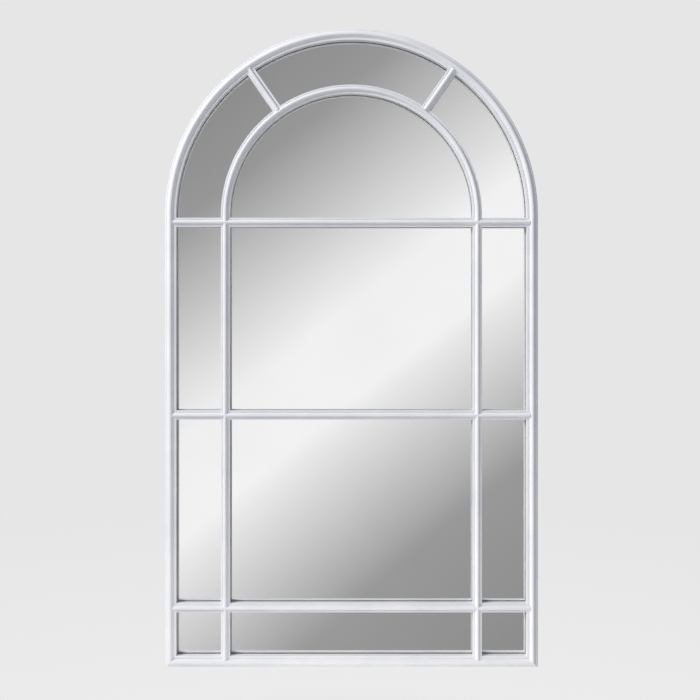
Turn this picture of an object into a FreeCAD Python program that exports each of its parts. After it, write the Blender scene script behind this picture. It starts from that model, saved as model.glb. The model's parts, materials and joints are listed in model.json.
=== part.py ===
import FreeCAD, Part
import math
import os

from FreeCAD import Vector

# Arched window mirror in a white moulded frame, in millimetres.
# X runs to the right seen from the front, Y from the front to the wall, Z up.
# The origin lies on the wall, midway between the two hooks that the mirror hangs on.

# Overall size, and how far the hooks lie below the springing of the arch
overall_width = 900.0
overall_height = 1540.0
hook_drop = 70.0

# Frame moulding: sizes across its face, from the sight edge outwards
frame_face = 28.0
frame_ledge = 6.0
frame_inner_bevel = 5.5
frame_crest = 4.5
frame_outer_bevel = 7.0
shoulder_drop = 1.0
shoulder_chamfer = 2.5
rebate_width = 11.0

# Glazing bar moulding, the same on both sides of its crest
bar_width = 22.0
bar_ledge = 4.5
bar_crest = 4.5

# Heights of both mouldings above the mirror's face
edge_height = 12.5
crest_rise = 5.0
quirk_depth = 2.6

# Layout of the panes
side_pane = 107.5
lower_pane = 105.0
springing_gap = 6.5
spoke_angle = 35.0

# Bar joints
joint_clearance = 0.2
lap_height = 6.0
tenon_width = 9.0
tenon_thickness = 5.0
tenon_height = 3.0
tenon_root = 3.5
frame_tenon = 9.0
bar_tenon = 7.0

# Frame joints: loose tenons at the springings and the crown, biscuits in the mitres
loose_tenon_length = 32.0
loose_tenon_width = 10.0
loose_tenon_thickness = 6.0
loose_tenon_height = -1.0
loose_tenon_wall = 4.0
biscuit_length = 24.0
biscuit_width = 14.0
biscuit_thickness = 3.0
biscuit_height = 2.0

# Mirror sheet and back board
glass_thickness = 4.0
board_thickness = 3.0
board_gap = 0.3
glass_clearance = 2.0
board_clearance = 1.5
block_length = 30.0
block_spacing = 430.0

# Turn buttons and their screws; on a stile the outer ones stand off its foot and its strap
button_length = 32.0
button_width = 11.0
button_thickness = 1.2
button_tail = 6.5
button_clip = 3.0
button_gap = 0.15
button_screw_diameter = 3.0
button_screw_length = 14.0
button_head_diameter = 6.0
button_head_height = 1.8
stile_buttons = 2
stile_button_low = 240.0
stile_button_high = 215.0
rail_button_spacing = 440.0
arch_buttons = 2
arch_button_angle = 45.0
arch_button_first = 22.5

# Hanger straps, their rings and screws
strap_width = 10.0
strap_length = 50.0
strap_thickness = 1.2
strap_inset = 1.5
strap_screw_first = 25.0
strap_screw_second = 42.0
ring_wire = 2.6
ring_sides = 8
ring_width = 15.6
ring_drop = 18.0
ring_gap = 0.35
hanger_screw_diameter = 3.5
hanger_screw_length = 14.0
hanger_head_diameter = 6.5
hanger_head_height = 1.9

# Wall bumpers
bumper_diameter = 12.0
bumper_height = 6.0
bumper_tip = 10.0
bumper_inset = 60.0

# Running clearance of a wire or shank in its hole, on the radius
running_clearance = 0.08

# Levels and radii worked out from the sizes above
half_width = overall_width / 2
springing_z = hook_drop
bottom_z = springing_z + half_width - overall_height
sight_radius = half_width - frame_face
rail_top_z = bottom_z + frame_face
rebate_depth = glass_thickness + board_thickness + board_gap
back_y = -bumper_height
glass_y = back_y - rebate_depth
frame_ridge = frame_ledge + frame_inner_bevel + frame_crest / 2
upright_x = sight_radius - side_pane - bar_width / 2
lower_bar_z = rail_top_z + lower_pane + bar_width / 2
upper_bar_z = springing_z - springing_gap - bar_width / 2
middle_bar_z = (lower_bar_z + upper_bar_z) / 2
rebate_radius = sight_radius + rebate_width
screw_line = (rebate_width + frame_face) / 2
moulding_height = edge_height + crest_rise
quirk_height = edge_height - quirk_depth
ring_axis_y = back_y + strap_thickness + ring_wire / 2 + ring_gap
ring_axis_z = -(ring_drop - ring_wire / 2)
hanger_x = rebate_radius + strap_inset + strap_width / 2

SPRINGING = Vector(0, 0, springing_z)
FORWARD = Vector(0, -1, 0)
BACKWARD = Vector(0, 1, 0)
UP = Vector(0, 0, 1)
RIGHT = Vector(1, 0, 0)
HALF_TURN = 180.0
QUARTER_TURN = 90.0
EIGHTH_TURN = 45.0
SQUARE_CORNERS = 1


def front(height):
    """Y of a point that stands a height in front of the mirror's face."""
    return glass_y - height


def outline(points):
    """A face in the XY plane, from points given across a moulding and above the mirror's face."""
    corners = [Vector(across, front(height), 0) for across, height in points]
    return Part.Face(Part.makePolygon(corners + corners[:1]))


def bar_section():
    """Section of a glazing bar, centred on its crest, with its back on the mirror's face."""
    side = bar_width / 2
    foot = side - bar_ledge
    crest = bar_crest / 2
    return outline([
        (-side, 0),
        (-side, edge_height),
        (-foot, edge_height),
        (-foot, quirk_height),
        (-crest, moulding_height),
        (crest, moulding_height),
        (foot, quirk_height),
        (foot, edge_height),
        (side, edge_height),
        (side, 0),
    ])


def scribe_section(width, ledge, crest):
    """Section that a bar's end is scribed to: a moulding without quirks, larger by the clearance."""
    side = width / 2 + joint_clearance
    run = (width - crest) / 2 - ledge
    slope = (moulding_height - quirk_height) / run
    shift = joint_clearance * math.hypot(1, slope) / slope
    low = edge_height + joint_clearance
    high = moulding_height + joint_clearance
    low_reach = crest / 2 + shift + (moulding_height - low) / slope
    high_reach = crest / 2 + shift + (moulding_height - high) / slope
    return outline([
        (-side, -joint_clearance),
        (-side, low),
        (-low_reach, low),
        (-high_reach, high),
        (high_reach, high),
        (low_reach, low),
        (side, low),
        (side, -joint_clearance),
    ])


def frame_section():
    """Section of the frame moulding: 0 at the sight edge, growing outwards, rebated at the back."""
    crest_start = frame_ledge + frame_inner_bevel
    crest_end = crest_start + frame_crest
    shoulder = edge_height - shoulder_drop
    return outline([
        (0, 0),
        (0, edge_height),
        (frame_ledge, edge_height),
        (frame_ledge, quirk_height),
        (crest_start, moulding_height),
        (crest_end, moulding_height),
        (crest_end + frame_outer_bevel, shoulder),
        (frame_face - shoulder_chamfer, shoulder),
        (frame_face, shoulder - shoulder_chamfer),
        (frame_face, -rebate_depth),
        (rebate_width, -rebate_depth),
        (rebate_width, 0),
    ])


def upright(face, x, low, high):
    """The section run straight up at a given X."""
    shape = face.extrude(UP * (high - low))
    return shape.translate(Vector(x, 0, low))


def level(face, z, left, right):
    """The section run from left to right at a given height, with its positive side down."""
    shape = face.extrude(UP * (right - left))
    shape.rotate(Vector(0, 0, 0), BACKWARD, QUARTER_TURN)
    return shape.translate(Vector(left, 0, z))


def ring(face, radius, angle):
    """The section turned about the arch's centre, from the right-hand springing upwards."""
    shape = face.copy()
    shape.translate(Vector(radius, 0, springing_z))
    return shape.revolve(SPRINGING, FORWARD, angle)


def mirrored(shape):
    """The same piece on the other side of the mirror's centre line."""
    return shape.mirror(Vector(0, 0, 0), RIGHT)


def block(low_x, high_x, low_height, high_height, low_z, high_z):
    """A rectangular block, given by its heights in front of the mirror's face."""
    size = (high_x - low_x, high_height - low_height, high_z - low_z)
    return Part.makeBox(*size, Vector(low_x, front(high_height), low_z))


def tenon(x, z, reach, along, grow):
    """A stub tenon from a shoulder at x, z, along X or Z, and back into its bar for strength."""
    half = tenon_width / 2 + grow
    low = tenon_height - grow
    high = tenon_height + tenon_thickness + grow
    tip = reach + math.copysign(grow, reach)
    root = -math.copysign(tenon_root, reach)
    start = min(tip, root)
    end = max(tip, root)
    if along == "x":
        return block(x + start, x + end, low, high, z - half, z + half)
    return block(x - half, x + half, low, high, z + start, z + end)


def turned(shape, angle):
    """A shape turned about the arch's centre, clockwise seen from the front."""
    return shape.copy().rotate(SPRINGING, BACKWARD, angle)


def cylinder_back(x, z, radius, depth):
    """A round hole or shank that goes from the frame's back face into the wood."""
    return Part.makeCylinder(radius, depth, Vector(x, back_y, z), FORWARD)


# Solids that the ends of the bars are scribed to
bar_scribe = scribe_section(bar_width, bar_ledge, bar_crest)
frame_scribe = scribe_section(2 * frame_ridge, frame_ledge, frame_crest)
stile_scribe = upright(frame_scribe, sight_radius + frame_ridge, bottom_z, springing_z)
rail_scribe = level(frame_scribe, rail_top_z - frame_ridge, -half_width, half_width)
arch_scribe = ring(frame_scribe, sight_radius + frame_ridge, HALF_TURN)
inner_arch_scribe = ring(bar_scribe, upright_x, HALF_TURN)
cross_scribes = {
    z: level(bar_scribe, z, -half_width, half_width)
    for z in (lower_bar_z, middle_bar_z, upper_bar_z)
}


def cross_bar(z):
    """A bar from stile to stile, its ends scribed over the stiles and tenoned into them."""
    reach = sight_radius + frame_ridge
    bar = level(bar_section(), z, -reach, reach)
    bar = bar.cut([stile_scribe, mirrored(stile_scribe)])
    end = tenon(sight_radius, z, frame_tenon, "x", 0)
    return bar.fuse([end, mirrored(end)])


def lapped_cross_bar(z):
    """A cross bar with its back halved where the two uprights pass behind it."""
    side = bar_width / 2 + joint_clearance
    notch = block(upright_x - side, upright_x + side, -joint_clearance, lap_height,
                  z - bar_width, z + bar_width)
    return cross_bar(z).cut([notch, mirrored(notch)])


def upper_cross_bar():
    """The springing bar: mortised below for the uprights and above for the inner arch."""
    side = bar_width / 2
    below = tenon(upright_x, upper_bar_z - side, bar_tenon, "z", joint_clearance)
    above = tenon(upright_x, upper_bar_z + side, -bar_tenon, "z", joint_clearance)
    return cross_bar(upper_bar_z).cut([below, above, mirrored(below), mirrored(above)])


def glazing_bar():
    """The right upright: lapped behind the lower and middle bars, tenoned at both ends."""
    side = bar_width / 2
    bar = upright(bar_section(), upright_x, rail_top_z - frame_ridge, upper_bar_z)
    laps = []
    for z in (lower_bar_z, middle_bar_z):
        face = block(upright_x - bar_width, upright_x + bar_width, lap_height,
                     moulding_height + bar_width, z - bar_width, z + bar_width)
        laps.append(cross_scribes[z].common(face))
    bar = bar.cut(laps + [rail_scribe, cross_scribes[upper_bar_z]])
    foot = tenon(upright_x, rail_top_z, -frame_tenon, "z", 0)
    head = tenon(upright_x, upper_bar_z - side, bar_tenon, "z", 0)
    return bar.fuse([foot, head])


def inner_arch():
    """The half ring over the uprights, on short legs that are tenoned into the upper cross bar."""
    section = bar_section()
    leg = upright(section, upright_x, upper_bar_z, springing_z)
    arch = ring(section, upright_x, HALF_TURN).fuse([leg, mirrored(leg)]).removeSplitter()
    arch = arch.cut(cross_scribes[upper_bar_z])
    foot = tenon(upright_x, upper_bar_z + bar_width / 2, -bar_tenon, "z", 0)
    socket = turned(spoke_foot(joint_clearance), spoke_angle)
    return arch.fuse([foot, mirrored(foot)]).cut([socket, mirrored(socket)])


def spoke_foot(grow):
    """The tenon of a spoke in the inner arch, with the spoke upright."""
    return tenon(0, springing_z + upright_x + bar_width / 2, -bar_tenon, "z", grow)


def spoke_head(grow):
    """The tenon of a spoke in the outer arch, with the spoke upright."""
    return tenon(0, springing_z + sight_radius, frame_tenon, "z", grow)


def spoke():
    """The right spoke, scribed to both arches and turned to its angle."""
    bar = upright(bar_section(), 0, springing_z + upright_x, springing_z + sight_radius + frame_ridge)
    bar = bar.cut([inner_arch_scribe, arch_scribe]).fuse([spoke_foot(0), spoke_head(0)])
    return turned(bar, spoke_angle)


def springing_tenon(grow):
    """The loose tenon across the joint at the right-hand springing."""
    start = sight_radius + frame_tenon + loose_tenon_wall
    half = loose_tenon_length / 2 + grow
    return block(start - grow, start + loose_tenon_width + grow,
                 loose_tenon_height - grow, loose_tenon_height + loose_tenon_thickness + grow,
                 springing_z - half, springing_z + half)


def crown_tenon(grow):
    """The loose tenon across the joint at the top of the arch."""
    return turned(springing_tenon(grow), -QUARTER_TURN)


def biscuit(grow):
    """The flat beech biscuit across the right-hand mitre, pointed at both ends."""
    half = biscuit_length / 2 + grow
    bulge = biscuit_width / 2 + grow
    left = Vector(-half, 0, 0)
    right = Vector(half, 0, 0)
    upper = Part.Arc(left, Vector(0, 0, bulge), right).toShape()
    lower = Part.Arc(right, Vector(0, 0, -bulge), left).toShape()
    plate = Part.Face(Part.Wire([upper, lower])).extrude(FORWARD * (biscuit_thickness + 2 * grow))
    plate.rotate(Vector(0, 0, 0), BACKWARD, EIGHTH_TURN)
    middle = frame_face / 2
    return plate.translate(Vector(half_width - middle, front(biscuit_height - grow), bottom_z + middle))


def mitre_wedge():
    """What the right stile loses at its foot, where it is mitred to the bottom rail."""
    corner = Vector(half_width, 0, bottom_z)
    run = 2 * frame_face
    points = [corner, corner + Vector(-run, 0, run), corner + Vector(-run, 0, 0), corner]
    face = Part.Face(Part.makePolygon(points))
    wedge = face.extrude(FORWARD * (2 * overall_width))
    return wedge.translate(BACKWARD * overall_width)


def button_places():
    """Screw points of the turn buttons on the right half: X, Z and the direction that holds the board."""
    x = sight_radius + screw_line
    low = bottom_z + stile_button_low
    high = ring_axis_z - strap_length - stile_button_high
    step = (high - low) / (stile_buttons - 1)
    places = [(x, low + index * step, QUARTER_TURN) for index in range(stile_buttons)]
    places.append((rail_button_spacing / 2, rail_top_z - screw_line, HALF_TURN))
    for index in range(arch_buttons):
        angle = arch_button_first + index * arch_button_angle
        turn = math.radians(angle)
        places.append((x * math.cos(turn), springing_z + x * math.sin(turn), QUARTER_TURN - angle))
    return places


def button_screw_holes():
    """Pilot holes of the turn button screws on the right half."""
    radius = button_screw_diameter / 2 + running_clearance
    depth = button_screw_length
    return [cylinder_back(x, z, radius, depth) for x, z, _ in button_places()]


def hanger_screw_places():
    """Heights of the two screws in a strap."""
    return [ring_axis_z - drop for drop in (strap_screw_first, strap_screw_second)]


def stile():
    """The right stile: mitred foot, mortises for the cross bars and the arch, holes for screws."""
    body = upright(frame_section(), sight_radius, bottom_z, springing_z)
    cuts = [mitre_wedge(), biscuit(joint_clearance)]
    cuts += [tenon(sight_radius, z, frame_tenon, "x", joint_clearance) for z in cross_scribes]
    cuts.append(springing_tenon(joint_clearance))
    cuts += button_screw_holes()
    radius = hanger_screw_diameter / 2 + running_clearance
    cuts += [cylinder_back(hanger_x, z, radius, hanger_screw_length) for z in hanger_screw_places()]
    return body.cut(cuts)


def bottom_rail():
    """The bottom rail between the mitres, mortised for the two uprights."""
    body = level(frame_section(), rail_top_z, -half_width, half_width)
    keep = mitre_wedge()
    body = body.common(keep.fuse(mirrored(keep)).fuse(rail_middle()))
    foot = tenon(upright_x, rail_top_z, -frame_tenon, "z", joint_clearance)
    cuts = [foot, biscuit(joint_clearance)] + button_screw_holes()
    return body.cut(cuts + [mirrored(shape) for shape in cuts])


def rail_middle():
    """The stretch of the bottom rail that lies between its two mitres."""
    side = half_width - frame_face
    deep = overall_width
    return block(-side, side, -deep, deep, bottom_z - frame_face, rail_top_z + frame_face)


def arch():
    """The right half of the arch, mortised for its spoke and for the joints at its ends."""
    body = ring(frame_section(), sight_radius, QUARTER_TURN)
    cuts = [springing_tenon(joint_clearance), crown_tenon(joint_clearance)] + button_screw_holes()
    cuts.append(turned(spoke_head(joint_clearance), spoke_angle))
    return body.cut(cuts)


def arched_sheet(radius, low_z, face_height, thickness):
    """A flat sheet with a half-round head, from a height behind the mirror's face backwards."""
    y = front(face_height)
    left = Vector(-radius, y, springing_z)
    right = Vector(radius, y, springing_z)
    crown = Vector(0, y, springing_z + radius)
    low_right = Vector(radius, y, low_z)
    low_left = Vector(-radius, y, low_z)
    edges = [
        Part.Arc(right, crown, left).toShape(),
        Part.makeLine(left, low_left),
        Part.makeLine(low_left, low_right),
        Part.makeLine(low_right, right),
    ]
    return Part.Face(Part.Wire(edges)).extrude(BACKWARD * thickness)


def mirror_glass():
    """The sheet of silvered glass, standing on its setting blocks."""
    low = rail_top_z - rebate_width + glass_clearance
    return arched_sheet(rebate_radius - glass_clearance, low, 0, glass_thickness)


def back_board():
    """The thin board behind the glass."""
    low = rail_top_z - rebate_width + board_clearance
    return arched_sheet(rebate_radius - board_clearance, low, -glass_thickness, board_thickness)


def setting_blocks():
    """The two blocks in the bottom rebate that carry the glass."""
    low = rail_top_z - rebate_width
    middle = block_spacing / 2
    piece = block(middle - block_length / 2, middle + block_length / 2,
                  -glass_thickness, 0, low, low + glass_clearance)
    return Part.makeCompound([piece, mirrored(piece)])


def turn_button(x, z, direction):
    """A flat steel button with clipped corners, on its screw, holding the board."""
    side = button_width / 2
    tip = button_length - button_tail
    corners = [
        Vector(side, 0, button_clip - button_tail),
        Vector(side, 0, tip - button_clip),
        Vector(side - button_clip, 0, tip),
        Vector(button_clip - side, 0, tip),
        Vector(-side, 0, tip - button_clip),
        Vector(-side, 0, button_clip - button_tail),
        Vector(button_clip - side, 0, -button_tail),
        Vector(side - button_clip, 0, -button_tail),
    ]
    plate = Part.Face(Part.makePolygon(corners + corners[:1])).extrude(BACKWARD * button_thickness)
    hole = button_screw_diameter / 2 + running_clearance
    plate = plate.cut(Part.makeCylinder(hole, button_thickness, Vector(0, 0, 0), BACKWARD))
    plate.rotate(Vector(0, 0, 0), BACKWARD, direction + HALF_TURN)
    return plate.translate(Vector(x, back_y + button_gap, z))


def wood_screw(x, z, seat_y, diameter, length, head_diameter, head_height):
    """A screw with its shank in the wood and its head on the given seat."""
    radius = diameter / 2
    head = head_diameter / 2
    tip_y = back_y - length
    top_y = seat_y + head_height
    corners = [
        Vector(0, tip_y, 0),
        Vector(radius, tip_y, 0),
        Vector(radius, seat_y, 0),
        Vector(head, seat_y, 0),
        Vector(head, top_y, 0),
        Vector(0, top_y, 0),
    ]
    face = Part.Face(Part.makePolygon(corners + corners[:1]))
    solid = face.revolve(Vector(0, 0, 0), BACKWARD, 2 * HALF_TURN)
    return solid.translate(Vector(x, 0, z))


def button_screw(x, z):
    """The screw that a turn button turns on."""
    seat = back_y + 2 * button_gap + button_thickness
    return wood_screw(x, z, seat, button_screw_diameter, button_screw_length,
                      button_head_diameter, button_head_height)


def hanger_strap():
    """The right strap: a plate with a round foot and a rolled eye at its head."""
    side = strap_width / 2
    foot = ring_axis_z - strap_length + side
    edges = [
        Part.makeLine(Vector(side, 0, foot), Vector(side, 0, ring_axis_z)),
        Part.makeLine(Vector(side, 0, ring_axis_z), Vector(-side, 0, ring_axis_z)),
        Part.makeLine(Vector(-side, 0, ring_axis_z), Vector(-side, 0, foot)),
        Part.Arc(Vector(-side, 0, foot), Vector(0, 0, foot - side), Vector(side, 0, foot)).toShape(),
    ]
    plate = Part.Face(Part.Wire(edges)).extrude(BACKWARD * strap_thickness)
    plate.translate(Vector(hanger_x, back_y, 0))
    bore = ring_wire / 2 + running_clearance
    base = Vector(hanger_x - side, ring_axis_y, ring_axis_z)
    eye = Part.makeCylinder(bore + strap_thickness, strap_width, base, RIGHT)
    cuts = [Part.makeCylinder(bore, strap_width, base, RIGHT)]
    hole = hanger_screw_diameter / 2 + running_clearance
    for z in hanger_screw_places():
        cuts.append(Part.makeCylinder(hole, strap_thickness, Vector(hanger_x, back_y, z), BACKWARD))
    return plate.fuse(eye).cut(cuts)


def hanger_ring():
    """The right D ring in the strap's eye, with square corners and flats round its wire."""
    half = ring_width / 2
    bow = ring_drop - half
    top_left = Vector(-half, 0, 0)
    top_right = Vector(half, 0, 0)
    low_right = Vector(half, 0, -bow)
    low_left = Vector(-half, 0, -bow)
    path = Part.Wire([
        Part.makeLine(Vector(0, 0, 0), top_right),
        Part.makeLine(top_right, low_right),
        Part.Arc(low_right, Vector(0, 0, -ring_drop), low_left).toShape(),
        Part.makeLine(low_left, top_left),
        Part.makeLine(top_left, Vector(0, 0, 0)),
    ])
    radius = ring_wire / 2
    angles = [2 * math.pi * index / ring_sides for index in range(ring_sides)]
    points = [Vector(0, radius * math.cos(angle), radius * math.sin(angle)) for angle in angles]
    section = Part.makePolygon(points + points[:1])
    solid = path.makePipeShell([section], True, False, SQUARE_CORNERS)
    return solid.removeSplitter().translate(Vector(hanger_x, ring_axis_y, ring_axis_z))


def hanger_screws():
    """The two screws of the right strap."""
    seat = back_y + strap_thickness
    return [
        wood_screw(hanger_x, z, seat, hanger_screw_diameter, hanger_screw_length,
                   hanger_head_diameter, hanger_head_height)
        for z in hanger_screw_places()
    ]


def wall_bumper():
    """The right rubber bumper, stuck to the bottom rail's back and tapered to the wall."""
    base = Vector(half_width - bumper_inset, back_y, rail_top_z - screw_line)
    return Part.makeCone(bumper_diameter / 2, bumper_tip / 2, bumper_height, base, BACKWARD)


def pair(shapes):
    """Pieces of the right half and their mirror images, as one group of separate solids."""
    return Part.makeCompound(shapes + [mirrored(shape) for shape in shapes])


def pieces():
    """Every node's name and shape."""
    right_half = {
        "stile": stile(),
        "arch": arch(),
        "glazing_bar": glazing_bar(),
        "spoke": spoke(),
        "hanger_strap": hanger_strap(),
        "hanger_ring": hanger_ring(),
    }
    nodes = {}
    for name, shape in right_half.items():
        nodes["right_" + name] = shape
        nodes["left_" + name] = mirrored(shape)
    nodes["bottom_rail"] = bottom_rail()
    nodes["inner_arch"] = inner_arch()
    nodes["upper_cross_bar"] = upper_cross_bar()
    nodes["middle_cross_bar"] = lapped_cross_bar(middle_bar_z)
    nodes["lower_cross_bar"] = lapped_cross_bar(lower_bar_z)
    nodes["mirror_glass"] = mirror_glass()
    nodes["back_board"] = back_board()
    nodes["setting_blocks"] = setting_blocks()
    nodes["mitre_biscuits"] = pair([biscuit(0)])
    nodes["springing_tenons"] = pair([springing_tenon(0)])
    nodes["crown_tenon"] = crown_tenon(0)
    nodes["hanger_screws"] = pair(hanger_screws())
    nodes["wall_bumpers"] = pair([wall_bumper()])
    nodes["turn_button_screws"] = pair([button_screw(x, z) for x, z, _ in button_places()])
    for number, (x, z, direction) in enumerate(button_places(), start=1):
        button = turn_button(x, z, direction)
        nodes[f"right_turn_button_{number}"] = button
        nodes[f"left_turn_button_{number}"] = mirrored(button)
    return nodes


os.makedirs("parts", exist_ok=True)
for node, shape in pieces().items():
    shape.exportStep(f"parts/{node}.step")
    print(f"{node}: solids {len(shape.Solids)}, valid {shape.isValid()}, volume {shape.Volume:.0f} mm3")
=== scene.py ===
import json
import math

import bmesh
import bpy
from mathutils import Matrix, Vector


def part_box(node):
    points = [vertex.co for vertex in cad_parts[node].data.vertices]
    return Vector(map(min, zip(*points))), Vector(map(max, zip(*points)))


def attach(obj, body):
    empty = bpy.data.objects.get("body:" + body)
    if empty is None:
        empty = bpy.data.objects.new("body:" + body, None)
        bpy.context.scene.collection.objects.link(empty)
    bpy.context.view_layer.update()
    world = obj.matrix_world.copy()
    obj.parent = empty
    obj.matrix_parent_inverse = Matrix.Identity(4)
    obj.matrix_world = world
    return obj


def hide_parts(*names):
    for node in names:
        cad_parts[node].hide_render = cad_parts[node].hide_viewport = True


# Arched window mirror: the white mouldings, the silvered sheet and the fittings on the back.
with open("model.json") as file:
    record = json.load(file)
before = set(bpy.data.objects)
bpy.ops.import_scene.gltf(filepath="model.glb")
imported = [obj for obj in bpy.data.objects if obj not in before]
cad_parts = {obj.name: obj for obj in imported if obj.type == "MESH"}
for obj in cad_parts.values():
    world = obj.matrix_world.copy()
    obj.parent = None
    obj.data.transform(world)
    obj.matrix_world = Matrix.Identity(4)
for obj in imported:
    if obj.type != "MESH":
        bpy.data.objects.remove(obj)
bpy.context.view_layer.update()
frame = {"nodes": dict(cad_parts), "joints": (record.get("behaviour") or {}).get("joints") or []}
nodes = frame["nodes"]
MM = 0.001

# Levels read from the frame's solids
stile_low, stile_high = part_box("right_stile")
rail_low, rail_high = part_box("bottom_rail")
sheet_low, sheet_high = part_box("mirror_glass")
half_width = stile_high.x
sight = stile_low.x
bottom = rail_low.z
rail_top = rail_high.z
springing = stile_high.z
frame_back = stile_high.y
glass_face = sheet_low.y


def middle_of(node):
    """Centre of a node's box."""
    low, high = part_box(node)
    return (low + high) / 2


upright_x = middle_of("right_glazing_bar").x
upper_bar = middle_of("upper_cross_bar").z
middle_bar = middle_of("middle_cross_bar").z
lower_bar = middle_of("lower_cross_bar").z

# Moulding sizes, across the face and above the mirror's face
FRAME_FACE = half_width - sight
FRAME_LEDGE = 6.0 * MM
FRAME_CREST_START = 11.5 * MM
FRAME_CREST_END = 16.0 * MM
FRAME_SHOULDER_START = 23.0 * MM
SHOULDER_CHAMFER = 2.5 * MM
REBATE = 11.0 * MM
BAR_SIDE = 11.0 * MM
BAR_FOOT = 6.5 * MM
BAR_CREST = 2.25 * MM
EDGE = 12.5 * MM
SHOULDER = 11.5 * MM
QUIRK = 11.2 * MM
CREST = 17.5 * MM
SPOKE_ANGLE = math.radians(35.0)

# Paint rounds every arris a little and the crest more, and half fills the quirks
ARRIS = 0.7 * MM
SOFT_CREST = 1.3 * MM
FILLED_QUIRK = 0.45 * MM

# Bars and spokes stop this far past a sight edge, where the frame's slope begins,
# and spokes this far off the inner arch's centre line
BAR_STOP = 7.0 * MM
SPOKE_STOP = 5.5 * MM

# A bar's faces stop this much below those of the piece that runs through
SCRIBE_STEP = 0.08 * MM

# The silvered face stands this much off the back board
SILVER_GAP = 0.05 * MM

# Eased arrises of the sheet and the board, and the rolled edge of a stamped plate
GLASS_ARRIS = 0.5 * MM
BOARD_ARRIS = 0.3 * MM
PLATE_EDGE = 0.2 * MM

# Facets in a quarter of an arch
ARC_STEPS = 64

# Points closer than this are welded into one
WELD = 0.001 * MM


def linear(code):
    """Linear colour of an sRGB hex value."""
    channels = [int(code[start:start + 2], 16) / 255 for start in (1, 3, 5)]
    levels = [c / 12.92 if c <= 0.04045 else ((c + 0.055) / 1.055) ** 2.4 for c in channels]
    return (*levels, 1.0)


def add(tree, kind, inputs=None, stops=(), **settings):
    """A node with its settings, its colour stops, and each input set to a value or linked to a socket."""
    node = tree.nodes.new(kind)
    for name, value in settings.items():
        setattr(node, name, value)
    for name, value in (inputs or {}).items():
        if isinstance(value, bpy.types.NodeSocket):
            tree.links.new(value, node.inputs[name])
        else:
            node.inputs[name].default_value = value
    while stops and len(node.color_ramp.elements) < len(stops):
        node.color_ramp.elements.new(1.0)
    for number, (place, code) in enumerate(stops):
        node.color_ramp.elements[number].position = place
        node.color_ramp.elements[number].color = linear(code)
    return node


def blank(name):
    """An empty material and its node tree."""
    material = bpy.data.materials.new(name)
    material.use_nodes = True
    material.node_tree.nodes.clear()
    return material, material.node_tree


def satin_white_lacquer():
    """Sprayed satin lacquer on wood: near white, softly glossy, with a faint orange peel."""
    material, tree = blank("satin_white_lacquer")
    # The peel of a fine spray is about half as wide; it is drawn coarser so that it shows
    place = add(tree, "ShaderNodeTexCoord").outputs["Object"]
    cloud = add(tree, "ShaderNodeTexNoise", {"Vector": place, "Scale": 1 / (90 * MM), "Detail": 3.0})
    peel = add(tree, "ShaderNodeTexNoise", {"Vector": place, "Scale": 1 / (1.4 * MM), "Detail": 2.0})
    colour = add(tree, "ShaderNodeValToRGB", {"Fac": cloud.outputs["Fac"]},
                 stops=[(0.3, "#eceef2"), (0.7, "#f6f6f7")])
    gloss = add(tree, "ShaderNodeMapRange", {"Value": cloud.outputs["Fac"], "To Min": 0.34, "To Max": 0.46})
    bump = add(tree, "ShaderNodeBump", {
        "Height": peel.outputs["Fac"], "Strength": 0.22, "Distance": 0.06 * MM})
    shader = add(tree, "ShaderNodeBsdfPrincipled", {
        "Base Color": colour.outputs["Color"], "Roughness": gloss.outputs["Result"],
        "Normal": bump.outputs["Normal"], "IOR": 1.5})
    add(tree, "ShaderNodeOutputMaterial", {"Surface": shader.outputs["BSDF"]})
    return material


def float_glass():
    """Clear float glass with a slight green cast, seen at the sheet's edge."""
    material, tree = blank("float_glass")
    place = add(tree, "ShaderNodeTexCoord").outputs["Object"]
    wave = add(tree, "ShaderNodeTexNoise", {"Vector": place, "Scale": 1 / (160 * MM), "Detail": 1.0})
    colour = add(tree, "ShaderNodeValToRGB", {"Fac": wave.outputs["Fac"]},
                 stops=[(0.3, "#fbfcfb"), (0.7, "#fdfdfd")])
    shader = add(tree, "ShaderNodeBsdfPrincipled", {
        "Base Color": colour.outputs["Color"], "Roughness": 0.0, "IOR": 1.52, "Transmission Weight": 1.0})
    add(tree, "ShaderNodeOutputMaterial", {"Surface": shader.outputs["BSDF"]})
    return material


def silvering():
    """The silver coat on the back of the sheet: a clean mirror with hardly any haze."""
    material, tree = blank("silvering")
    place = add(tree, "ShaderNodeTexCoord").outputs["Object"]
    cloud = add(tree, "ShaderNodeTexNoise", {"Vector": place, "Scale": 1 / (220 * MM), "Detail": 2.0})
    colour = add(tree, "ShaderNodeValToRGB", {"Fac": cloud.outputs["Fac"]},
                 stops=[(0.3, "#f9f9f9"), (0.7, "#fcfcfc")])
    shader = add(tree, "ShaderNodeBsdfPrincipled", {
        "Base Color": colour.outputs["Color"], "Metallic": 1.0, "Roughness": 0.0})
    add(tree, "ShaderNodeOutputMaterial", {"Surface": shader.outputs["BSDF"]})
    return material


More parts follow.
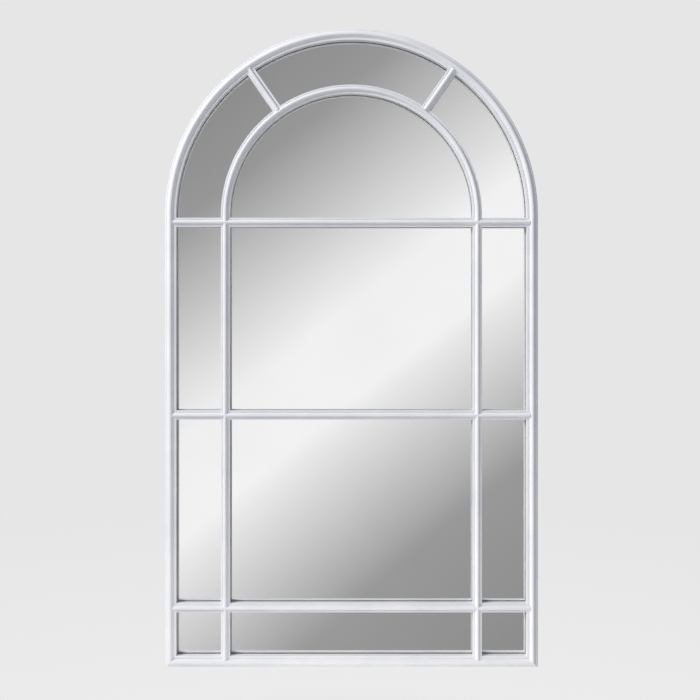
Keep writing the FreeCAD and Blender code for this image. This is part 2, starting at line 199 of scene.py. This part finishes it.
def brown_hardboard():
    """Pressed wood fibre board: mid brown and dull, felted from short fibres, with a few dark bark specks."""
    material, tree = blank("brown_hardboard")
    # Real fibres are under a millimetre wide; they are drawn coarser so that the felting shows
    place = add(tree, "ShaderNodeTexCoord").outputs["Object"]
    cloud = add(tree, "ShaderNodeTexNoise", {"Vector": place, "Scale": 1 / (120 * MM), "Detail": 3.0})
    fibre = add(tree, "ShaderNodeTexNoise", {
        "Vector": place, "Scale": 1 / (2.5 * MM), "Detail": 6.0, "Roughness": 0.72, "Distortion": 0.5})
    speck = add(tree, "ShaderNodeTexVoronoi", {"Vector": place, "Scale": 1 / (9 * MM), "Randomness": 1.0})
    mixed = add(tree, "ShaderNodeMix", {"Factor": 0.75, "A": cloud.outputs["Fac"], "B": fibre.outputs["Fac"]})
    felt = add(tree, "ShaderNodeValToRGB", {"Fac": mixed.outputs["Result"]},
               stops=[(0.34, "#6a4c31"), (0.5, "#83623f"), (0.66, "#987550")])
    bark = add(tree, "ShaderNodeMapRange", {
        "Value": speck.outputs["Distance"], "From Min": 0.05, "From Max": 0.13, "To Min": 0.55, "To Max": 0.0})
    colour = add(tree, "ShaderNodeMix", {
        "Factor": bark.outputs["Result"], "A": felt.outputs["Color"], "B": linear("#4a3220")}, data_type="RGBA")
    bump = add(tree, "ShaderNodeBump", {
        "Height": fibre.outputs["Fac"], "Strength": 0.3, "Distance": 0.15 * MM})
    shader = add(tree, "ShaderNodeBsdfPrincipled", {
        "Base Color": colour.outputs["Result"], "Roughness": 0.74, "Normal": bump.outputs["Normal"]})
    add(tree, "ShaderNodeOutputMaterial", {"Surface": shader.outputs["BSDF"]})
    return material


def zinc_plated_steel():
    """Pressed steel with bright zinc plate: silver grey, faintly cloudy, with soft reflections."""
    material, tree = blank("zinc_plated_steel")
    # The plate's grain is finer than this and is drawn coarser so that it shows close up
    place = add(tree, "ShaderNodeTexCoord").outputs["Object"]
    cloud = add(tree, "ShaderNodeTexNoise", {"Vector": place, "Scale": 1 / (6 * MM), "Detail": 3.0})
    grit = add(tree, "ShaderNodeTexNoise", {"Vector": place, "Scale": 1 / (0.5 * MM), "Detail": 2.0})
    colour = add(tree, "ShaderNodeValToRGB", {"Fac": cloud.outputs["Fac"]},
                 stops=[(0.35, "#b4b8bc"), (0.65, "#cbccc6")])
    gloss = add(tree, "ShaderNodeMapRange", {"Value": cloud.outputs["Fac"], "To Min": 0.26, "To Max": 0.44})
    bump = add(tree, "ShaderNodeBump", {
        "Height": grit.outputs["Fac"], "Strength": 0.15, "Distance": 0.03 * MM})
    shader = add(tree, "ShaderNodeBsdfPrincipled", {
        "Base Color": colour.outputs["Color"], "Metallic": 1.0, "Roughness": gloss.outputs["Result"],
        "Normal": bump.outputs["Normal"]})
    add(tree, "ShaderNodeOutputMaterial", {"Surface": shader.outputs["BSDF"]})
    return material


def nickel_plated_wire():
    """Drawn steel wire with nickel plate: warm silver, smoother than the zinc."""
    material, tree = blank("nickel_plated_wire")
    place = add(tree, "ShaderNodeTexCoord").outputs["Object"]
    cloud = add(tree, "ShaderNodeTexNoise", {"Vector": place, "Scale": 1 / (3 * MM), "Detail": 2.0})
    colour = add(tree, "ShaderNodeValToRGB", {"Fac": cloud.outputs["Fac"]},
                 stops=[(0.35, "#c9c4b8"), (0.65, "#d8d4ca")])
    gloss = add(tree, "ShaderNodeMapRange", {"Value": cloud.outputs["Fac"], "To Min": 0.14, "To Max": 0.26})
    shader = add(tree, "ShaderNodeBsdfPrincipled", {
        "Base Color": colour.outputs["Color"], "Metallic": 1.0, "Roughness": gloss.outputs["Result"]})
    add(tree, "ShaderNodeOutputMaterial", {"Surface": shader.outputs["BSDF"]})
    return material


def grey_rubber():
    """Moulded rubber: dark grey, dull, with a fine grain."""
    material, tree = blank("grey_rubber")
    # The moulded grain is finer than this and is drawn coarser so that it shows close up
    place = add(tree, "ShaderNodeTexCoord").outputs["Object"]
    grain = add(tree, "ShaderNodeTexNoise", {"Vector": place, "Scale": 1 / (0.6 * MM), "Detail": 3.0})
    colour = add(tree, "ShaderNodeValToRGB", {"Fac": grain.outputs["Fac"]},
                 stops=[(0.3, "#2b2b2c"), (0.7, "#3a3a3b")])
    bump = add(tree, "ShaderNodeBump", {
        "Height": grain.outputs["Fac"], "Strength": 0.3, "Distance": 0.05 * MM})
    shader = add(tree, "ShaderNodeBsdfPrincipled", {
        "Base Color": colour.outputs["Color"], "Roughness": 0.75, "Normal": bump.outputs["Normal"]})
    add(tree, "ShaderNodeOutputMaterial", {"Surface": shader.outputs["BSDF"]})
    return material


def planed_beech():
    """Planed beech: pinkish straw with fine straight grain and short dark flecks."""
    material, tree = blank("planed_beech")
    place = add(tree, "ShaderNodeTexCoord").outputs["Object"]
    along = add(tree, "ShaderNodeMapping", {"Vector": place, "Scale": (1.0, 1.0, 0.12)})
    grain = add(tree, "ShaderNodeTexNoise", {
        "Vector": along.outputs["Vector"], "Scale": 1 / (1.2 * MM), "Detail": 4.0})
    colour = add(tree, "ShaderNodeValToRGB", {"Fac": grain.outputs["Fac"]},
                 stops=[(0.35, "#b98a5c"), (0.55, "#d0a679"), (0.75, "#dcb68c")])
    shader = add(tree, "ShaderNodeBsdfPrincipled", {"Base Color": colour.outputs["Color"], "Roughness": 0.55})
    add(tree, "ShaderNodeOutputMaterial", {"Surface": shader.outputs["BSDF"]})
    return material


LACQUER = satin_white_lacquer()
GLASS = float_glass()
SILVER = silvering()
HARDBOARD = brown_hardboard()
ZINC = zinc_plated_steel()
NICKEL = nickel_plated_wire()
RUBBER = grey_rubber()
BEECH = planed_beech()


def piece(name, shell, finishes, body, slot, *replaced, crease=32):
    """An object from a finished shell, riding on its body in place of its solids.

    Edges that turn by more than the crease, in degrees, stay sharp.
    """
    bmesh.ops.remove_doubles(shell, verts=shell.verts, dist=WELD)
    bmesh.ops.recalc_face_normals(shell, faces=shell.faces)
    mesh = bpy.data.meshes.new(name)
    shell.to_mesh(mesh)
    shell.free()
    for surface in finishes:
        mesh.materials.append(surface)
    mesh.shade_smooth()
    mesh.set_sharp_from_angle(angle=math.radians(crease))
    made = bpy.data.objects.new(name, mesh)
    bpy.context.scene.collection.objects.link(made)
    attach(made, body)
    if replaced:
        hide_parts(*replaced)


def section(points, step):
    """A moulding's section as one face, its crest and arrises rounded, its front lowered by a step."""
    shell = bmesh.new()
    corners = [shell.verts.new((across, glass_face - height + (step if height > 0 else 0), 0))
               for across, height, _ in points]
    shell.faces.new(corners)
    for radius in sorted({radius for _, _, radius in points if radius}):
        chosen = [corner for corner, (_, _, wanted) in zip(corners, points) if wanted == radius]
        bmesh.ops.bevel(shell, geom=chosen, offset=radius, offset_type="OFFSET", segments=3,
                        profile=0.5, affect="VERTICES", material=-1)
    return shell


def frame_section():
    """The frame moulding: 0 at the sight edge, growing outwards, rebated at the back."""
    back = glass_face - frame_back
    return section([
        (0, 0, 0),
        (0, EDGE, ARRIS),
        (FRAME_LEDGE, EDGE, ARRIS),
        (FRAME_LEDGE, QUIRK, FILLED_QUIRK),
        (FRAME_CREST_START, CREST, SOFT_CREST),
        (FRAME_CREST_END, CREST, SOFT_CREST),
        (FRAME_SHOULDER_START, SHOULDER, 0),
        (FRAME_FACE - SHOULDER_CHAMFER, SHOULDER, ARRIS),
        (FRAME_FACE, SHOULDER - SHOULDER_CHAMFER, ARRIS),
        (FRAME_FACE, back, ARRIS),
        (REBATE, back, 0),
        (REBATE, 0, 0),
    ], 0)


def bar_section(step):
    """A glazing bar's moulding, the same on both sides of its crest."""
    half = [
        (BAR_CREST, CREST, SOFT_CREST),
        (BAR_FOOT, QUIRK, FILLED_QUIRK),
        (BAR_FOOT, EDGE, ARRIS),
        (BAR_SIDE, EDGE, ARRIS),
        (BAR_SIDE, 0, 0),
    ]
    other = [(-across, height, radius) for across, height, radius in reversed(half)]
    return section(other + half, step)


def run_straight(shell, length, place):
    """Runs a section straight along its own Z, then puts it in place."""
    made = bmesh.ops.extrude_face_region(shell, geom=shell.faces[:])
    tips = [item for item in made["geom"] if isinstance(item, bmesh.types.BMVert)]
    bmesh.ops.translate(shell, verts=tips, vec=(0, 0, length))
    bmesh.ops.transform(shell, matrix=place, verts=shell.verts)
    return shell


def run_round(shell, radius, angle, steps):
    """Runs a section round the arch's centre, from the right-hand springing upwards."""
    bmesh.ops.translate(shell, verts=shell.verts, vec=(radius, 0, springing))
    whole = shell.verts[:] + shell.edges[:] + shell.faces[:]
    bmesh.ops.spin(shell, geom=whole, cent=(0, 0, springing), axis=(0, -1, 0), angle=angle, steps=steps)
    return shell


def swap_sides(shell):
    """The same piece on the other side of the centre line."""
    bmesh.ops.scale(shell, vec=(-1, 1, 1), verts=shell.verts)
    return shell


def join(shell, other):
    """Adds another shell to this one."""
    mesh = bpy.data.meshes.new("joined")
    other.to_mesh(mesh)
    other.free()
    shell.from_mesh(mesh)
    bpy.data.meshes.remove(mesh)
    return shell


ACROSS = Matrix.Rotation(math.radians(90), 4, "Y")
QUARTER = math.pi / 2


def stile():
    """The right stile, mitred at its foot."""
    shell = run_straight(frame_section(), springing - bottom, Matrix.Translation((sight, 0, bottom)))
    for corner in shell.verts:
        if corner.co.z < springing - MM:
            corner.co.z = bottom + half_width - corner.co.x
    return shell


def rail():
    """The bottom rail, mitred at both ends."""
    place = Matrix.Translation((-half_width, 0, rail_top)) @ ACROSS
    shell = run_straight(frame_section(), 2 * half_width, place)
    for corner in shell.verts:
        end = half_width - (corner.co.z - bottom)
        corner.co.x = math.copysign(end, corner.co.x)
    return shell


def arch_half():
    """The right half of the head, from its springing to the crown."""
    return run_round(frame_section(), sight, QUARTER, ARC_STEPS)


def cross_bar(height):
    """A bar from stile to stile, let in over the ledges of both."""
    reach = sight + BAR_STOP
    place = Matrix.Translation((-reach, 0, height)) @ ACROSS
    return run_straight(bar_section(SCRIBE_STEP), 2 * reach, place)


def upright():
    """The right upright, from the bottom rail's ledge to the upper cross bar's crest."""
    low = rail_top - BAR_STOP
    place = Matrix.Translation((upright_x, 0, low))
    return run_straight(bar_section(2 * SCRIBE_STEP), upper_bar - BAR_CREST - low, place)


def inner_arch():
    """The half ring over the uprights, on its two short legs."""
    shell = run_round(bar_section(2 * SCRIBE_STEP), upright_x, 2 * QUARTER, 2 * ARC_STEPS)
    # Only the two end faces are level and have more than four corners
    ends = [face for face in shell.faces if abs(face.normal.z) > 0.999 and len(face.verts) > 4]
    legs = bmesh.ops.extrude_face_region(shell, geom=ends)
    bmesh.ops.delete(shell, geom=ends, context="FACES")
    feet = [item for item in legs["geom"] if isinstance(item, bmesh.types.BMVert)]
    bmesh.ops.translate(shell, verts=feet, vec=(0, 0, upper_bar + BAR_CREST - springing))
    return shell


def spoke(side):
    """A spoke between the two arches, let in over the ledges of both."""
    low = upright_x + SPOKE_STOP
    place = (Matrix.Translation((0, 0, springing)) @ Matrix.Rotation(side * SPOKE_ANGLE, 4, "Y")
             @ Matrix.Translation((0, 0, low)))
    return run_straight(bar_section(3 * SCRIBE_STEP), sight + BAR_STOP - low, place)


def lacquered(name, shell, node):
    """A white lacquered moulding in place of its solid."""
    piece(name, shell, [LACQUER], "frame", "white_lacquer", node)


lacquered("right_stile_moulding", stile(), "right_stile")
lacquered("left_stile_moulding", swap_sides(stile()), "left_stile")
lacquered("bottom_rail_moulding", rail(), "bottom_rail")
lacquered("right_arch_moulding", arch_half(), "right_arch")
lacquered("left_arch_moulding", swap_sides(arch_half()), "left_arch")
lacquered("upper_cross_bar_moulding", cross_bar(upper_bar), "upper_cross_bar")
lacquered("middle_cross_bar_moulding", cross_bar(middle_bar), "middle_cross_bar")
lacquered("lower_cross_bar_moulding", cross_bar(lower_bar), "lower_cross_bar")
lacquered("right_upright_moulding", upright(), "right_glazing_bar")
lacquered("left_upright_moulding", swap_sides(upright()), "left_glazing_bar")
lacquered("inner_arch_moulding", inner_arch(), "inner_arch")
lacquered("right_spoke_moulding", spoke(1), "right_spoke")
lacquered("left_spoke_moulding", spoke(-1), "left_spoke")


def arched_panel(low, high, arris):
    """A flat panel with a half round head, its arrises eased."""
    shell = bmesh.new()
    first = shell.verts.new((high.x, low.y, springing))
    turned = bmesh.ops.spin(shell, geom=[first], cent=(0, low.y, springing), axis=(0, -1, 0),
                            angle=2 * QUARTER, steps=2 * ARC_STEPS)
    last = [item for item in turned["geom_last"] if isinstance(item, bmesh.types.BMVert)][0]
    low_left = shell.verts.new((low.x, low.y, low.z))
    low_right = shell.verts.new((high.x, low.y, low.z))
    for start, end in ((last, low_left), (low_left, low_right), (low_right, first)):
        shell.edges.new((start, end))
    bmesh.ops.contextual_create(shell, geom=shell.edges[:])
    made = bmesh.ops.extrude_face_region(shell, geom=shell.faces[:])
    back = [item for item in made["geom"] if isinstance(item, bmesh.types.BMVert)]
    bmesh.ops.translate(shell, verts=back, vec=(0, high.y - low.y, 0))
    bmesh.ops.recalc_face_normals(shell, faces=shell.faces)
    # The edges round the front and back faces, without the short ones through the thickness
    rim = [edge for edge in shell.edges if edge.calc_face_angle(0) > math.radians(60)
           and abs(edge.verts[0].co.y - edge.verts[1].co.y) < 0.1 * MM]
    bmesh.ops.bevel(shell, geom=rim, offset=arris, offset_type="OFFSET", segments=1, profile=0.5,
                    affect="EDGES", material=-1)
    return shell


def mirror_sheet():
    """Clear glass with ground arrises, silvered on its back face."""
    silver_face = sheet_high - Vector((0, SILVER_GAP, 0))
    shell = arched_panel(sheet_low, silver_face, GLASS_ARRIS)
    for face in shell.faces:
        if face.calc_center_median().y > silver_face.y - SILVER_GAP:
            face.material_index = 1
    return shell


piece("mirror_sheet", mirror_sheet(), [GLASS, SILVER], "frame", "mirror_sheet", "mirror_glass")
piece("hardboard_panel", arched_panel(*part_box("back_board"), BOARD_ARRIS), [HARDBOARD], "frame", "back_board",
      "back_board")


# Screw heads, as shares of the head's radius and height: the cross recess's field, depth and taper,
# then the crown's rings from the field's edge down to the seat
RECESS_FIELD = 0.42
RECESS_DEPTH = 0.6
RECESS_TAPER = 0.8
CROWN_RINGS = ((0.82, 0.12), (1.0, 0.45), (1.0, 1.0))


def screw(place, seat, head_radius, head_height, shank_radius, tip):
    """A pan head screw with a cross recess, from its tip in the wood to its crown."""
    shell = bmesh.new()
    bmesh.ops.create_grid(shell, x_segments=3, y_segments=3, size=head_radius * RECESS_FIELD)
    bmesh.ops.subdivide_edges(shell, edges=[edge for edge in shell.edges if edge.is_boundary], cuts=1)
    rim = [edge for edge in shell.edges if edge.is_boundary]
    # The middle face and its four neighbours make the cross
    slots = sorted(shell.faces, key=lambda face: face.calc_center_median().length)[:5]
    cut = bmesh.ops.extrude_face_region(shell, geom=slots)
    bmesh.ops.delete(shell, geom=slots, context="FACES")
    floor = [item for item in cut["geom"] if isinstance(item, bmesh.types.BMVert)]
    bmesh.ops.translate(shell, verts=floor, vec=(0, 0, -RECESS_DEPTH * head_height))
    bmesh.ops.scale(shell, vec=(RECESS_TAPER, RECESS_TAPER, 1), verts=floor)
    rings = [(radius * head_radius, -height * head_height) for radius, height in CROWN_RINGS]
    rings += [(shank_radius, -head_height), (shank_radius, tip - seat - head_height)]
    for radius, level in rings:
        ring = bmesh.ops.extrude_edge_only(shell, edges=rim)
        rim = [item for item in ring["geom"] if isinstance(item, bmesh.types.BMEdge)]
        for corner in {corner for edge in rim for corner in edge.verts}:
            flat = Vector((corner.co.x, corner.co.y, 0)).normalized() * radius
            corner.co = (flat.x, flat.y, level)
    bmesh.ops.contextual_create(shell, geom=rim)
    crown = Vector((place.x, seat + head_height, place.z))
    facing = Matrix.Translation(crown) @ Matrix.Rotation(math.radians(-90), 4, "X")
    bmesh.ops.transform(shell, matrix=facing, verts=shell.verts)
    return shell


# Screw points on the back: a turn button turns on its own screw, a strap has two below its ring
BUTTONS = [f"{side}_turn_button_{number}" for side in ("right", "left") for number in range(1, 6)]
pivots = {joint["child"]: Vector(joint["pos_m"]) for joint in frame["joints"]}
STRAP_SCREWS = (25.0 * MM, 42.0 * MM)


def screws_of(places, node, head_radius, head_height, shank_radius):
    """A set of equal screws, between the tip and the crown that their solids have."""
    low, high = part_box(node)
    group = bmesh.new()
    for place in places:
        join(group, screw(place, high.y - head_height, head_radius, head_height, shank_radius, low.y))
    return group


# Screws: the head's radius and height, and the shank's radius
BUTTON_SCREW = (3.0 * MM, 1.8 * MM, 1.5 * MM)
STRAP_SCREW = (3.25 * MM, 1.9 * MM, 1.75 * MM)

button_places = [pivots[button] for button in BUTTONS]
piece("turn_button_screw_set", screws_of(button_places, "turn_button_screws", *BUTTON_SCREW),
      [ZINC], "frame", "zinc_steel", "turn_button_screws")
strap_places = [pivots[side] - Vector((0, 0, drop))
                for side in ("right_hanger_ring", "left_hanger_ring") for drop in STRAP_SCREWS]
piece("hanger_screw_set", screws_of(strap_places, "hanger_screws", *STRAP_SCREW),
      [ZINC], "frame", "zinc_steel", "hanger_screws")


# D ring: the wire's radius, the bend at its corners and half its width to the wire's middle
WIRE_RADIUS = 1.3 * MM
RING_CORNER = 2.2 * MM
RING_HALF = 7.8 * MM
CORNER_STEPS = 6
BOW_STEPS = 32


def wire_ring(axis, low):
    """A D ring of round wire: a straight bar in the eye, two small corners and a round bow."""
    bow = axis.z - (low.z + WIRE_RADIUS) - RING_HALF
    flat = RING_HALF - RING_CORNER
    shell = bmesh.new()
    bmesh.ops.create_circle(shell, segments=16, radius=WIRE_RADIUS, matrix=ACROSS)

    def straight(end, vec):
        made = bmesh.ops.extrude_edge_only(shell, edges=end)["geom"]
        tips = [item for item in made if isinstance(item, bmesh.types.BMVert)]
        bmesh.ops.translate(shell, vec=vec, verts=tips)
        return [item for item in made if isinstance(item, bmesh.types.BMEdge) and item.is_boundary]

    def bend(end, centre, angle, steps):
        made = bmesh.ops.spin(shell, geom=end, cent=centre, axis=(0, 1, 0), angle=angle, steps=steps)
        return [item for item in made["geom_last"] if isinstance(item, bmesh.types.BMEdge)]

    end = straight(shell.edges[:], (flat, 0, 0))
    end = bend(end, (flat, 0, -RING_CORNER), QUARTER, CORNER_STEPS)
    end = straight(end, (0, 0, RING_CORNER - bow))
    end = bend(end, (0, 0, -bow), 2 * QUARTER, BOW_STEPS)
    end = straight(end, (0, 0, bow - RING_CORNER))
    end = bend(end, (-flat, 0, -RING_CORNER), QUARTER, CORNER_STEPS)
    straight(end, (flat, 0, 0))
    bmesh.ops.translate(shell, verts=shell.verts, vec=axis)
    return shell


for side in ("right", "left"):
    ring = f"{side}_hanger_ring"
    piece(f"{side}_wire_ring", wire_ring(pivots[ring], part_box(ring)[0]), [NICKEL], ring, "nickel_wire", ring)


# Bumpers: how much they narrow towards the wall, and the rounding of the face that meets it
BUMPER_TAPER = 1.0 * MM
BUMPER_ROUND = 1.0 * MM


def bumper(side):
    """A tapered rubber bumper with a rounded face, stuck to the rail's back."""
    low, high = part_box("wall_bumpers")
    radius = (high.z - low.z) / 2
    shell = bmesh.new()
    corners = [shell.verts.new(co) for co in (
        (0, low.y, 0), (radius, low.y, 0), (radius - BUMPER_TAPER, high.y, 0), (0, high.y, 0))]
    for start, end in zip(corners, corners[1:]):
        shell.edges.new((start, end))
    bmesh.ops.bevel(shell, geom=[corners[2]], offset=BUMPER_ROUND, offset_type="OFFSET", segments=4,
                    profile=0.5, affect="VERTICES", material=-1)
    bmesh.ops.spin(shell, geom=shell.verts[:] + shell.edges[:], cent=(0, 0, 0), axis=(0, 1, 0),
                   angle=2 * math.pi, steps=32, use_merge=True)
    place = Vector((side * (high.x - radius), 0, (low.z + high.z) / 2))
    bmesh.ops.translate(shell, verts=shell.verts, vec=place)
    return shell


piece("rubber_bumpers", join(bumper(1), bumper(-1)), [RUBBER], "frame", "rubber", "wall_bumpers")


def stamped_plate(node):
    """A copy of a stamped plate's solid with whole faces and slightly rolled edges."""
    shell = bmesh.new()
    shell.from_mesh(nodes[node].data)
    bmesh.ops.remove_doubles(shell, verts=shell.verts, dist=2 * WELD)
    bmesh.ops.dissolve_limit(shell, angle_limit=math.radians(1), verts=shell.verts, edges=shell.edges)
    sharp = [edge for edge in shell.edges if edge.calc_face_angle(0) > math.radians(50)]
    bmesh.ops.bevel(shell, geom=sharp, offset=PLATE_EDGE, offset_type="OFFSET", segments=2, profile=0.5,
                    affect="EDGES", clamp_overlap=True, material=-1)
    return shell


for button in BUTTONS:
    piece(f"{button}_plate", stamped_plate(button), [ZINC], button, "zinc_steel", button, crease=20)
for strap in ("right_hanger_strap", "left_hanger_strap"):
    piece(f"{strap}_plate", stamped_plate(strap), [ZINC], "frame", "zinc_steel", strap, crease=20)

# Hidden joint pieces and blocks keep their solids
CARRIED = {
    "setting_blocks": RUBBER, "mitre_biscuits": BEECH, "springing_tenons": BEECH, "crown_tenon": BEECH,
}
for name, surface in CARRIED.items():
    nodes[name].data.materials.clear()
    nodes[name].data.materials.append(surface)


# The floor lies as far below the hooks as it does under such a mirror on a wall
FLOOR_DROP = 1.75
FLOOR_RADIUS = 1.25
FLOOR_FADE_START = 0.45
FLOOR_CLOUD = 1 / 3

# Camera: level and straight on, a little above the mirror's middle, with the picture shifted down
# to the mirror as the photograph's upright sides and visible bar edges show
SENSOR = 36.0
CAMERA_DISTANCE = 1.65
CAMERA_HEIGHT = -0.17
PICTURE_WIDTH = 1.686
PICTURE_MIDDLE = -0.255
CAMERA_SIDE = -0.0035
FRAME_FRONT = -0.025
camera_data = bpy.data.cameras.new("camera")
camera_data.sensor_width = SENSOR
camera_data.lens = SENSOR * CAMERA_DISTANCE / PICTURE_WIDTH
camera_data.shift_y = (PICTURE_MIDDLE - CAMERA_HEIGHT) / PICTURE_WIDTH
camera = bpy.data.objects.new("camera", camera_data)
camera.location = (CAMERA_SIDE, FRAME_FRONT - CAMERA_DISTANCE, CAMERA_HEIGHT)
camera.rotation_euler = (math.radians(90), 0, 0)
bpy.context.scene.collection.objects.link(camera)
bpy.context.scene.camera = camera
bpy.context.scene.view_settings.view_transform = "Standard"


def studio_floor():
    """A plain pale floor well below the mirror, whose rim fades into the background."""
    material, tree = blank("pale_floor")
    place = add(tree, "ShaderNodeTexCoord").outputs["Object"]
    cloud = add(tree, "ShaderNodeTexNoise", {"Vector": place, "Scale": 1 / FLOOR_CLOUD, "Detail": 2.0})
    colour = add(tree, "ShaderNodeValToRGB", {"Fac": cloud.outputs["Fac"]},
                 stops=[(0.3, "#dedede"), (0.7, "#e4e4e4")])
    centre = add(tree, "ShaderNodeMapping", {"Vector": place, "Location": (0, 0, FLOOR_DROP)})
    reach = add(tree, "ShaderNodeVectorMath", {0: centre.outputs["Vector"]}, operation="LENGTH")
    rim = add(tree, "ShaderNodeMapRange", {
        "Value": reach.outputs["Value"], "From Min": FLOOR_FADE_START, "From Max": FLOOR_RADIUS,
        "To Min": 1.0, "To Max": 0.0})
    shader = add(tree, "ShaderNodeBsdfPrincipled", {
        "Base Color": colour.outputs["Color"], "Roughness": 0.8, "Alpha": rim.outputs["Result"]})
    add(tree, "ShaderNodeOutputMaterial", {"Surface": shader.outputs["BSDF"]})
    shell = bmesh.new()
    bmesh.ops.create_circle(shell, cap_ends=True, segments=96, radius=FLOOR_RADIUS,
                            matrix=Matrix.Translation((0, 0, -FLOOR_DROP)))
    mesh = bpy.data.meshes.new("studio_floor")
    shell.to_mesh(mesh)
    shell.free()
    mesh.materials.append(material)
    floor = bpy.data.objects.new("studio_floor", mesh)
    bpy.context.scene.collection.objects.link(floor)


def soft_light(name, place, target, size, power, tint):
    """A large square studio light that points at a target and is not seen, in the mirror either."""
    lamp = bpy.data.lights.new(name, "AREA")
    lamp.size = size
    lamp.energy = power
    lamp.color = linear(tint)[:3]
    made = bpy.data.objects.new(name, lamp)
    made.location = place
    made.rotation_euler = (Vector(target) - Vector(place)).to_track_quat("-Z", "Y").to_euler()
    made.visible_camera = False
    made.visible_transmission = False
    made.visible_glossy = False
    bpy.context.scene.collection.objects.link(made)


# The studio's white screens as the mirror sees them, along a slope from the upper left to the lower right
BAND = [
    (-1.0, "#d0d0d0"), (-0.62, "#e4e4e4"),  # side screen at the upper left, for views from the side
    (-0.34, "#8c8c8c"), (-0.25, "#969696"),  # dim gap
    (-0.01, "#eeeeee"), (0.1, "#f0f0f0"), (0.122, "#e7e7e7"),  # main screen, from its soft to its crisp edge
    (0.31, "#989898"), (0.47, "#8c8c8c"),  # dim gap
    (0.72, "#e4e4e4"), (1.0, "#b4b4b4"),  # side screen at the lower right
]
BAND_SLOPE = math.radians(38)
BAND_STRENGTH = 1.08

# Behind the mirror the screens are whiter by this share, which brightens the plated fittings
BEHIND_SHARE = 0.5

# Dimmer light from all round, for the paint
FILL_STRENGTH = 0.32


def studio_world():
    """Plain pale grey to the eye, a dimmer fill for the paint, and white screens in mirror and gloss."""
    world = bpy.data.worlds.new("studio_world")
    world.use_nodes = True
    tree = world.node_tree
    tree.nodes.clear()
    toward = add(tree, "ShaderNodeTexCoord").outputs["Generated"]
    along = add(tree, "ShaderNodeVectorMath", {
        0: toward, 1: (math.sin(BAND_SLOPE), 0, -math.cos(BAND_SLOPE))}, operation="DOT_PRODUCT")
    share = add(tree, "ShaderNodeMapRange", {
        "Value": along.outputs["Value"], "From Min": -1.0, "From Max": 1.0})
    band = add(tree, "ShaderNodeValToRGB", {"Fac": share.outputs["Result"]},
               stops=[((place + 1) / 2, code) for place, code in BAND])
    path = add(tree, "ShaderNodeLightPath")
    mirrored = add(tree, "ShaderNodeMath", {
        0: path.outputs["Is Glossy Ray"], 1: path.outputs["Is Transmission Ray"]}, operation="MAXIMUM")
    fill = add(tree, "ShaderNodeBackground", {"Color": linear("#dfe5f0"), "Strength": FILL_STRENGTH})
    axes = add(tree, "ShaderNodeSeparateXYZ", {"Vector": toward})
    paler = add(tree, "ShaderNodeMapRange", {
        "Value": axes.outputs["Z"], "From Min": -0.5, "From Max": -0.25})
    backdrop = add(tree, "ShaderNodeValToRGB", {"Fac": paler.outputs["Result"]},
                   stops=[(0.0, "#ececec"), (1.0, "#e6e6e6")])
    behind = add(tree, "ShaderNodeMapRange", {
        "Value": axes.outputs["Y"], "From Min": 0.1, "From Max": 0.5, "To Max": BEHIND_SHARE})
    screen = add(tree, "ShaderNodeMix", {
        "Factor": behind.outputs["Result"], "A": band.outputs["Color"], "B": linear("#f4f4f4")},
        data_type="RGBA")
    seen = add(tree, "ShaderNodeBackground", {"Color": backdrop.outputs["Color"], "Strength": 1.0})
    shown = add(tree, "ShaderNodeBackground", {"Color": screen.outputs["Result"], "Strength": BAND_STRENGTH})
    inner = add(tree, "ShaderNodeMixShader", {
        0: mirrored.outputs["Value"], 1: fill.outputs["Background"], 2: shown.outputs["Background"]})
    both = add(tree, "ShaderNodeMixShader", {
        0: path.outputs["Is Camera Ray"], 1: inner.outputs["Shader"], 2: seen.outputs["Background"]})
    add(tree, "ShaderNodeOutputWorld", {"Surface": both.outputs["Shader"]})
    bpy.context.scene.world = world


studio_floor()
studio_world()
MIRROR_MIDDLE = (0, 0, -0.3)
soft_light("key_from_upper_left", (-4.9, -2.75, 3.7), MIRROR_MIDDLE, size=1.8, power=410.0, tint="#fffdfb")
soft_light("front_fill", (0.0, -4.2, -0.3), MIRROR_MIDDLE, size=3.0, power=24.0, tint="#f4f7ff")
soft_light("floor_bounce", (0.0, -0.8, -1.7), (0, -0.8, 0), size=0.9, power=7.5, tint="#fff8f0")
soft_light("back_fill", (0.8, 3.4, 0.6), MIRROR_MIDDLE, size=2.4, power=75.0, tint="#ffffff")
